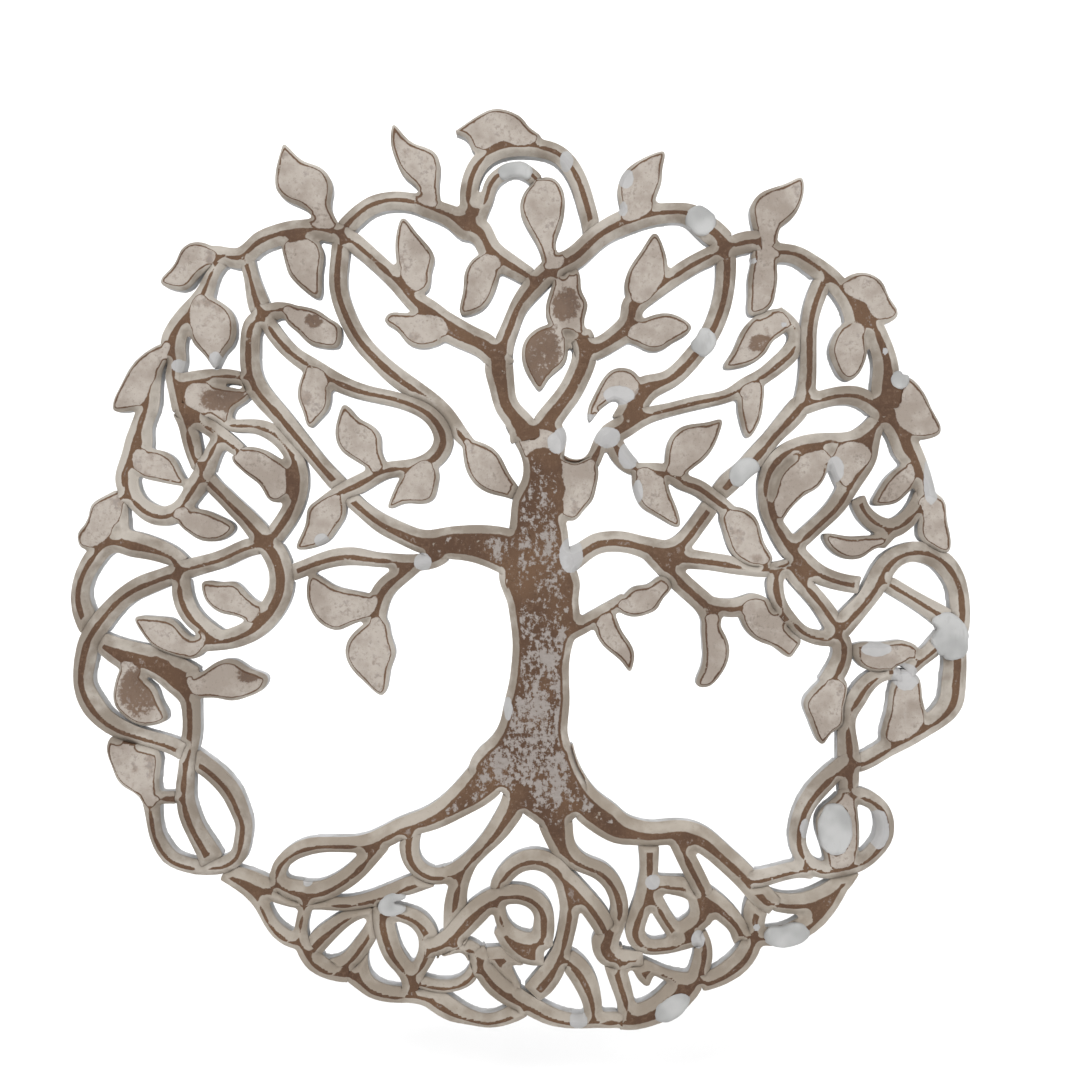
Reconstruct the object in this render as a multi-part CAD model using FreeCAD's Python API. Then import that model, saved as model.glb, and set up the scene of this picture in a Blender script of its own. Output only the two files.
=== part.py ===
# Wall plaque: a pierced tree-of-life panel, parted into its boughs, loops, leaves and roots.
# Millimetres. +Z is up, the front faces -Y and the flat back lies on y = 0 against the wall.
# Each piece is a prism of the board. Where two pieces cross, the front one keeps the front
# half of the thickness and the back one keeps the back half, so they meet in a half-lap.
import FreeCAD, Part
import math
import os

from FreeCAD import Vector

# ---- driving dimensions ----
DRAWN_WIDTH = 600.0        # width the outlines below are drawn at
BOARD_WIDTH = 600.0        # width of the finished plaque
BOARD_THICK = 18.0         # thickness of the board
STRAND_FULLNESS = 1.0      # 1 = strands as wide as drawn
LAP_SHARE = 0.5            # share of the thickness kept by the front piece at a crossing
LEAF_SINK = 0.8            # depth of the washed face of a leaf
LEAF_RIM = 5.0             # rim left standing round that face
DAB_DEPTH = 5.0            # how far a mend goes into the board
DAB_PROUD = 0.8            # how far it stands out of the front
PLATE_LONG = 20.0          # hanger plate, across
PLATE_TALL = 9.0           # hanger plate, up and down
PLATE_THICK = 1.2          # hanger plate sheet
TOOTH = 1.6                # depth of a hanger tooth
NAIL_ROOM_WIDE = 13.0      # pocket behind the plate for the wall nail
NAIL_ROOM_TALL = 17.0
NAIL_ROOM_DEEP = 6.0
HANGER_X = 15.5            # middle of the hanger plate
HANGER_Z = 58.0
PIN_R = 0.9                # hanger pins
PIN_LONG = 7.0
PIN_HEAD_R = 1.6
PIN_HEAD = 0.5

K = BOARD_WIDTH / DRAWN_WIDTH

# ---- strands: x, z, full width along the middle line ----
STRANDS = {
    "top_left_rail": [(-207, 211, 10), (-196, 209, 12), (-186, 208, 14), (-175, 217, 13), (-165, 222, 14),
                      (-155, 225, 14), (-142, 227, 13), (-130, 226, 13), (-112, 219, 13), (-102, 211, 12),
                      (-92, 202, 12), (-82, 192, 12), (-72, 181, 13), (-62, 173, 16), (-53, 165, 18),
                      (-43, 159, 18), (-33, 154, 17), (-23, 149, 17), (-15, 140, 16), (-9, 134, 16)],
    "left_rise": [(-197, 206, 8), (-206, 194, 9), (-210, 184, 12), (-219, 172, 14), (-228, 160, 15),
                  (-231, 148, 16), (-229, 140, 13), (-230, 130, 12), (-228, 118, 12), (-225, 107, 13),
                  (-222, 98, 12), (-219, 86, 12), (-216, 74, 10), (-213, 66, 9)],
    "left_link": [(-228, 108, 10), (-214, 99, 11), (-204, 93, 11), (-195, 86, 11), (-186, 79, 9)],
    "top_left_drop": [(-184, 210, 13), (-179, 195, 10), (-176, 183, 13), (-171, 170, 14)],
    "left_bough": [(-147, 171, 8), (-160, 173, 11), (-170, 170, 13), (-178, 162, 13), (-180, 150, 13),
                   (-180, 138, 13), (-178, 127, 14), (-170, 114, 14), (-160, 103, 13), (-150, 91, 12),
                   (-140, 79, 11), (-130, 67, 11), (-121, 57, 12), (-112, 47, 11), (-103, 39, 11),
                   (-92, 31, 13), (-78, 24, 14), (-65, 19, 16), (-50, 18, 21), (-35, 18, 24),
                   (-20, 16, 28), (2, 7, 32)],
    "left_swing": [(-170, 168, 10), (-160, 153, 11), (-150, 143, 11), (-138, 135, 12), (-125, 127, 12),
                   (-112, 121, 11), (-98, 117, 10), (-84, 114, 10), (-72, 110, 10), (-61, 104, 11),
                   (-54, 96, 12), (-51, 87, 13), (-54, 78, 13), (-63, 71, 12), (-76, 68, 11),
                   (-90, 66, 11), (-102, 60, 12), (-114, 54, 12), (-126, 48, 9), (-134, 43, 7)],
    "left_diagonal": [(-119, 223, 12), (-121, 200, 12), (-121, 188, 12), (-118, 176, 12), (-113, 164, 12),
                      (-105, 151, 12), (-95, 140, 12), (-84, 130, 13), (-73, 122, 13), (-62, 114, 13),
                      (-50, 103, 13), (-41, 92, 11), (-32, 82, 8)],
    "crown_rail": [(-119, 225, 12), (-107, 237, 12), (-98, 243, 12), (-85, 246, 12), (-72, 245, 12),
                   (-60, 241, 13), (-45, 235, 15), (-33, 228, 18), (-27, 225, 17), (-20, 213, 16),
                   (-10, 205, 15), (0, 199, 13), (12, 191, 12)],
    "crown_hoop": [(-32, 226, 12), (-34, 240, 12), (-34, 252, 12), (-31, 264, 12), (-24, 274, 12),
                   (-13, 280, 12), (0, 282, 12), (13, 281, 12), (25, 277, 12), (34, 268, 12),
                   (40, 256, 12),
                   (44, 243, 12), (47, 231, 12), (48, 220, 12)],
    "crown_curl": [(-28, 226, 9), (-26, 238, 9), (-22, 248, 9), (-19, 257, 9), (-12, 264, 9),
                   (-3, 267, 9),
                   (6, 264, 9), (13, 256, 9)],
    "crown_bough": [(3, 86, 20), (1, 96, 19), (-9, 110, 16), (-12, 122, 17), (-14, 135, 19),
                    (-11, 150, 14),
                    (-6, 163, 12), (-1, 175, 12), (6, 185, 14), (14, 194, 15), (24, 202, 15),
                    (36, 208, 15),
                    (47, 218, 15), (56, 225, 15), (70, 232, 16), (83, 236, 15), (100, 238, 13),
                    (112, 237, 14), (121, 231, 16), (134, 220, 16), (140, 214, 14)],
    "fork_right": [(13, 84, 22), (22, 104, 17), (32, 117, 16), (39, 130, 16), (43, 142, 17),
                   (38, 158, 18)],
    "right_bough": [(36, 144, 16), (44, 146, 16), (54, 149, 14), (65, 156, 15), (74, 165, 17),
                    (75, 175, 16),
                    (86, 183, 11), (97, 191, 11), (108, 199, 12), (120, 206, 12), (133, 212, 13),
                    (145, 217, 14), (160, 219, 14)],
    "right_drop": [(137, 212, 14), (137, 193, 13), (135, 180, 13), (131, 167, 13), (125, 155, 13),
                   (116, 143, 13), (107, 133, 13), (97, 126, 13), (86, 122, 17), (78, 113, 18),
                   (68, 98, 16)],
    "right_loop": [(57, 90, 12), (70, 96, 15), (82, 102, 12), (100, 107, 9), (120, 112, 9), (140, 117, 9),
                   (149, 122, 11), (160, 128, 11), (172, 137, 12), (181, 146, 12), (184, 156, 10),
                   (179, 165, 9), (171, 172, 8)],
    "right_tie_a": [(24, 77, 10), (37, 68, 12), (46, 70, 12), (51, 78, 10), (60, 92, 10)],
    "right_tie_b": [(60, 92, 10), (66, 78, 13), (72, 71, 12), (80, 66, 8)],
    "outer_left": [(-238, 146, 8), (-245, 122, 11), (-248, 108, 14), (-252, 96, 14), (-254, 85, 18),
                   (-259, 74, 14), (-262, 62, 15), (-260, 52, 14), (-254, 44, 12), (-246, 38, 13),
                   (-236, 36, 13), (-227, 40, 12), (-220, 49, 12), (-213, 60, 14), (-208, 71, 12),
                   (-201, 85, 11)],
    "left_wave": [(-213, 68, 11), (-206, 58, 11), (-198, 50, 11), (-190, 42, 12), (-181, 33, 13),
                  (-172, 22, 15), (-163, 10, 16), (-159, -3, 16), (-160, -15, 16), (-166, -27, 16),
                  (-176, -38, 15), (-190, -45, 14), (-205, -48, 12), (-217, -50, 10)],
    "low_left_bough": [(-50, 12, 12), (-62, 6, 12), (-72, 5, 11), (-84, 6, 10), (-96, 7, 10),
                       (-110, 9, 12),
                       (-124, 8, 12), (-137, 4, 11), (-150, -1, 11), (-160, -3, 12)],
    "low_left_fork": [(-70, 5, 12), (-82, -5, 13), (-91, -14, 14), (-95, -24, 14), (-96, -36, 12)],
    "left_stub": [(-225, 0, 11), (-225, -17, 13), (-220, -29, 13), (-211, -38, 12), (-198, -46, 10)],
    "left_rim": [(-168, 16, 12), (-184, 14, 12), (-197, 8, 12), (-210, 4, 12), (-224, 0, 13),
                 (-237, -5, 13),
                 (-250, -10, 14), (-261, -16, 13), (-271, -25, 13), (-280, -36, 14), (-287, -48, 14),
                 (-290, -61, 14), (-291, -75, 13), (-286, -88, 15), (-278, -98, 14), (-266, -106, 13),
                 (-252, -111, 11), (-238, -115, 11), (-224, -121, 12)],
    "left_hoop": [(-222, 2, 9), (-236, 11, 14), (-248, 15, 16), (-261, 18, 17), (-273, 18, 14),
                  (-283, 9, 13), (-290, -3, 12), (-293, -16, 12), (-291, -28, 14), (-284, -42, 14)],
    "left_hoop_tie": [(-264, 50, 5), (-264, 34, 6), (-264, 22, 8)],
    "left_twig_a": [(-286, -40, 8), (-268, -49, 8), (-256, -52, 8), (-243, -56, 10), (-230, -62, 11),
                    (-216, -70, 11)],
    "left_twig_b": [(-287, -46, 7), (-272, -56, 10), (-262, -61, 12), (-250, -64, 11), (-239, -69, 12),
                    (-229, -76, 14), (-221, -84, 14), (-219, -96, 12), (-219, -108, 12), (-221, -120, 12),
                    (-222, -132, 11), (-223, -142, 12), (-223, -152, 12), (-221, -162, 13),
                    (-217, -172, 13), (-212, -181, 14), (-205, -194, 16)],
    "left_ring": [(-203, 101, 8), (-196, 97.5, 8), (-188, 96, 8.5), (-180, 96, 9), (-170, 94, 11),
                  (-160, 88, 12), (-152, 78, 12), (-148, 66, 13), (-148, 54, 13), (-151, 43, 13),
                  (-157, 32, 13), (-166, 20, 13)],
    "left_bar": [(-226, 126, 10), (-210, 128, 11), (-198, 129, 10), (-187, 128, 9), (-178, 124, 10)],
    "lower_left_hoop": [(-224, -118, 11), (-215, -127, 13), (-208, -132, 13), (-200, -139, 13),
                        (-192, -149, 13), (-187, -160, 12), (-184, -170, 11), (-185, -180, 11),
                        (-188, -190, 11), (-194, -195, 11), (-203, -197.5, 11), (-213, -198, 10),
                        (-223, -196, 10), (-232, -192, 10), (-238, -185, 10), (-242, -177, 9),
                        (-244, -168, 9), (-245, -160, 10), (-248, -148, 12)],
    "lower_left_bridge": [(-248, -153, 9), (-237, -151.5, 8), (-222, -152, 9)],
    "twig_middle": [(20, -52, 11), (30, -44, 10), (40, -38, 11), (50, -32, 11), (60, -26, 10),
                    (70, -19, 8)],
    "right_arm": [(18, 4, 22), (32, 6, 18), (42, 12, 14), (50, 17, 14), (60, 19, 14), (70, 18.5, 14),
                  (80, 16, 14), (90, 13, 16), (100, 13, 15), (109, 19, 13), (117, 29, 12), (125, 40, 12),
                  (132, 50, 12), (140, 59, 14), (149, 67, 13), (158, 76, 14), (167, 87, 12),
                  (177, 98, 14), (188, 111, 14)],
    "right_arm_low": [(84, 16, 14), (99, 0, 14), (108, -9, 14), (117, -17, 14), (125, -25, 15),
                      (127, -38, 12)],
    "right_branch_a": [(98, 9, 14), (116, 7, 13), (128, 5.5, 12), (140, 3.5, 12), (152, 1, 10),
                       (163, 0, 10), (180, 3, 10)],
    "right_branch_b": [(120, -21, 14), (136, -25, 12), (147, -24, 12), (155, -20, 9), (163, -22, 7),
                       (174, -32, 5)],
    "right_lift": [(74, 67, 8), (88, 67, 9), (98, 65, 10), (108, 59, 11), (118, 55, 11), (128, 48, 11),
                   (136, 42, 10), (143, 36, 8)],
    "upper_right_rail": [(155, 214, 13), (170, 211.5, 13), (183, 210, 12), (195, 203, 13), (206, 195, 13),
                         (215, 185, 13), (221, 174, 13), (222, 160, 12)],
    "upper_right_drop": [(204, 196, 12), (196, 178, 12), (193, 165, 11), (192, 150, 11), (192, 135, 11),
                         (191, 122, 12), (188, 108, 12)],
    "right_rim": [(184, 108, 12), (199, 113, 12), (211, 116, 12), (223, 116, 13), (234, 111, 14),
                  (243, 104, 16), (254, 90, 18), (258, 80, 18), (263, 72, 15), (268, 60, 13),
                  (271, 44, 14)],
    "right_stay": [(227, 183, 14), (233, 167, 14), (240, 150, 15), (243, 140, 16), (244, 130, 18),
                   (243, 108, 16)],
    "right_swag": [(240, 104, 9), (230, 92, 11), (222, 87.5, 11), (210, 85.5, 12), (197, 85, 12),
                   (184, 82, 12), (173, 75, 12), (165, 64, 11), (163, 52, 9), (165, 40, 10),
                   (171, 28, 12), (178, 17, 14),
                   (187, 7, 14), (198, -2, 13), (210, -7, 12), (226, -10, 12)],
    "right_swag_low": [(240, 100, 10), (234, 87, 12), (232, 76, 12), (222, 60, 13), (211, 43, 12),
                       (198, 30, 11), (187, 20, 11), (178, 13, 10)],
    "right_hook": [(225, 48, 10), (231, 36, 11), (239, 30, 12), (248, 28, 13), (257, 33, 12),
                   (264, 41, 12),
                   (269, 54, 12)],
    "right_hook_stem": [(249, 28, 10), (239, 17, 9)],
    "right_hoop": [(213, -40, 14), (224, -27, 14), (231, -19, 13), (239, -6, 15), (246, 5, 14),
                   (256, 11, 13), (267, 12, 14), (278, 8, 14), (286, 0, 14), (291, -10, 13),
                   (293, -22, 13),
                   (293, -35, 13), (288, -48, 12)],
    "right_cross_a": [(238, -5, 11), (250, -12, 11), (260, -18, 11), (270, -24, 12), (281, -31, 14),
                      (292, -41, 14)],
    "right_cross_b": [(258, -68, 10), (270, -57, 10), (278, -50, 12), (288, -38, 14)],
    "right_low_rim": [(286, -36, 16), (289, -50, 15), (290, -62, 15), (289, -75, 16), (287, -88, 16),
                      (279, -98, 14), (268, -106, 12), (256, -113, 12), (244, -119, 12), (234, -125, 12),
                      (219, -130, 12)],
    "right_inner_a": [(178, 4, 10), (190, -11, 12), (198, -20, 12), (206, -31, 13), (212, -42, 13),
                      (215, -54, 13), (212, -65, 14), (204, -76, 12)],
    "right_inner_b": [(172, 2, 10), (170, -12, 11), (173, -23, 10), (180, -33, 9), (188, -41, 9),
                      (198, -45, 10), (212, -45, 10)],
    "right_post": [(253, -70, 9), (240, -70, 10), (231, -76, 12), (224, -86, 13), (218, -98, 12),
                   (218, -112, 13), (219, -126, 15), (219, -138, 14), (219, -152, 12)],
    "lower_right_hoop": [(220, -126, 12), (203, -141, 13), (195, -150, 13), (189, -160, 12),
                         (186, -170, 12), (185, -181, 11), (188, -190, 11), (194, -197, 11),
                         (203, -200, 11), (214, -199, 11), (226, -195, 11), (236, -187, 11),
                         (242, -178, 12), (243, -168, 12), (240, -159, 11), (233, -153, 11),
                         (223, -150, 11), (212, -151, 9)],
    # roots
    "root_arm_left": [(-10, -124, 30), (-21, -137, 28), (-31, -147, 25), (-43, -156, 20),
                      (-54, -163, 17), (-66, -168, 15),
                      (-78, -172, 14), (-90, -178, 14), (-102, -182, 12), (-116, -183, 10),
                      (-130, -183, 10), (-143, -185, 11), (-153, -190, 10), (-160, -198, 10),
                      (-160, -208, 10)],
    "root_ring_left": [(-162, -200, 10), (-159, -209, 12), (-151, -213, 14), (-142, -215, 15),
                       (-132, -214, 14), (-121, -209, 13), (-111, -202, 13), (-103, -194, 13),
                       (-92, -182, 12)],
    "root_sweep_left": [(-198, -201, 11), (-187, -204, 12), (-178, -207, 12), (-170, -211, 13),
                        (-158, -216, 14), (-145, -220, 11), (-130, -222, 9), (-112, -222, 9),
                        (-98, -219, 10), (-84, -214, 11), (-70, -209, 12), (-58, -205, 11),
                        (-44, -201, 10)],
    "root_outer_left": [(-196, -203, 9), (-186, -209, 10), (-176, -216, 12), (-170, -227, 9),
                        (-165, -236, 9), (-158, -243, 10), (-146, -248, 10)],
    "root_mid_left": [(2, -128, 18), (-3, -142, 16), (-4, -155, 17), (-9, -165, 16), (-16, -175, 14),
                      (-26, -186, 11), (-34, -194, 11), (-44, -201, 11), (-55, -204, 11), (-65, -201, 11),
                      (-72, -193, 12), (-74, -184, 13), (-71, -172, 13)],
    "root_spur": [(-34, -194, 12), (-41, -211, 13), (-43, -223, 15), (-42, -235, 18), (-44, -248, 14)],
    "root_spiral": [(-64, -251, 13), (-50, -248, 14), (-38, -237, 16), (-28, -227, 16), (-17, -219, 14),
                    (-5, -216, 13), (6, -218, 13), (14, -225, 13), (16, -236, 14), (15, -246, 14)],
    "root_spiral_end": [(20, -244, 12), (11, -248, 13), (2, -247, 12), (-6, -243, 11), (-11, -236, 9),
                        (-14, -224, 9)],
    "root_spiral_low": [(-14, -238, 9), (-5, -250, 12), (6, -256, 14), (16, -256, 13)],
    "root_arch": [(-16, -214, 10), (-9, -202, 12), (0, -195, 13), (10, -193, 14), (20, -196, 14),
                  (28, -204, 14), (32, -215, 14), (33, -227, 13), (31, -240, 12), (28, -252, 12),
                  (25, -260, 14), (20, -269, 16), (8, -282, 14)],
    "root_bar": [(26, -201, 12), (36, -210, 12), (43, -219, 14), (50, -228, 15), (57, -240, 14)],
    "root_tap": [(21, -140, 26), (23, -165, 24), (26, -177, 20), (31, -188, 16), (42, -196, 12),
                 (52, -200, 12), (60, -207, 12), (65, -217, 12), (66, -228, 12), (62, -238, 14),
                 (57, -247, 18), (60, -256, 17), (70, -259, 12), (82, -258, 10)],
    "root_main_right": [(22, -122, 30), (33, -143, 24), (46, -158, 23), (58, -167, 23), (68, -173, 20),
                        (78, -175, 17), (88, -176, 16), (100, -175, 16), (112, -176, 17), (123, -181, 17),
                        (133, -189, 16), (143, -198, 16), (152, -207, 16), (160, -216, 16),
                        (170, -224, 13)],
    "root_drop_a": [(86, -176, 14), (86, -190, 13), (86, -200, 12), (85, -210, 13), (82, -222, 13),
                    (78, -233, 13), (77, -243, 13), (83, -250, 11), (94, -251, 10), (105, -249, 10),
                    (120, -244, 12)],
    "root_drop_b": [(104, -176, 14), (110, -190, 13), (117, -204, 13), (123, -216, 12)],
    "root_ring_bar": [(87, -208, 10), (91, -222, 11), (96, -231, 11), (104, -243, 11)],
    "root_ring_top": [(84, -209, 12), (100, -210, 12), (112, -212, 14), (124, -218, 15), (134, -226, 15),
                      (143, -235, 13), (148, -246, 13)],
    "root_outer_right": [(162, -218, 16), (156, -232, 15), (155, -244, 14), (151, -255, 14),
                         (143, -264, 14), (134, -270, 13), (120, -275, 12)],
    "root_low_right": [(118, -242, 12), (122, -252, 12), (121, -262, 13), (117, -273, 13),
                       (110, -283, 13),
                       (100, -291, 13), (90, -296, 13), (78, -300, 12), (64, -301, 9)],
    "root_inner_right_a": [(61, -251, 15), (64, -266, 14), (67, -276, 13), (70, -286, 12),
                           (71, -298, 12)],
    "root_inner_right_b": [(68, -262, 9), (84, -264, 8), (94, -268, 7), (104, -272, 9), (120, -272, 10)],
    "root_inner_right_c": [(70, -294, 10), (80, -293, 9), (90, -289, 10), (100, -282, 13),
                           (110, -274, 12)],
    "root_swag_a": [(152, -206, 12), (170, -203, 11), (182, -200, 11), (194, -200, 12)],
    "root_swag_b": [(162, -218, 14), (176, -222, 13), (188, -222, 14), (200, -218, 14), (211, -211, 13),
                    (222, -199, 10)],
    "root_swag_c": [(153, -245, 12), (168, -244, 12), (180, -242, 13), (190, -237, 14), (199, -230, 13),
                    (206, -222, 12), (213, -212, 10)],
    "root_left_down": [(-142, -219, 10), (-145, -233, 8), (-146, -243, 9), (-142, -254, 12),
                       (-135, -262, 13), (-126, -267, 12), (-114, -269, 12)],
    "root_left_diagonal": [(-98, -226, 10), (-114, -231, 10), (-124, -238, 12), (-133, -246, 14),
                           (-139, -254, 12)],
    "root_left_hook": [(-134, -262, 10), (-124, -264, 11), (-114, -260, 12), (-106, -251, 12),
                       (-100, -242, 11), (-96, -233, 11), (-93, -220, 12)],
    "root_low_left": [(-120, -267, 11), (-108, -272, 12), (-98, -279, 12), (-86, -282.5, 11),
                      (-74, -283, 11), (-64, -284, 12), (-54, -288, 15), (-44, -294, 14), (-33, -298, 10),
                      (-20, -300, 9), (-8, -297, 11), (4, -290, 12)],
    "root_left_cup": [(-103, -246, 10), (-107, -260, 11), (-105, -270, 11), (-96, -279, 11)],
    "root_left_post": [(-91, -220, 12), (-91, -234, 14), (-88, -247, 14), (-83, -258, 13),
                       (-76, -267, 12), (-73, -280, 12)],
    "root_left_eye": [(-91, -226, 12), (-79, -229, 11), (-69, -233, 12), (-62, -242, 13), (-61, -252, 13),
                      (-65, -262, 11), (-70, -272, 10)],
    "root_mid_a": [(-58, -252, 11), (-45, -251, 9), (-36, -251, 10), (-29, -257, 13), (-27, -266, 13)],
    "root_mid_b": [(-70, -273, 9), (-54, -277, 8), (-42, -276, 8), (-30, -266, 10)],
    "root_long": [(-29, -252, 12), (-24, -266, 14), (-16, -276, 15), (-5, -284, 15), (8, -291, 13),
                  (20, -297, 12), (32, -300, 10), (52, -300, 10), (68, -300, 10)],
    "root_mid_c": [(-25, -257, 10), (-15, -261, 12), (-8, -270, 9), (-2, -280, 8)],
    "root_mid_d": [(-24, -257, 10), (-12, -257, 12), (0, -257, 12), (14, -256, 13)],
    "root_mid_ring": [(30, -258, 13), (39, -267, 16), (45, -278, 15), (48, -288, 13), (48, -301, 12)],
}

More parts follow.
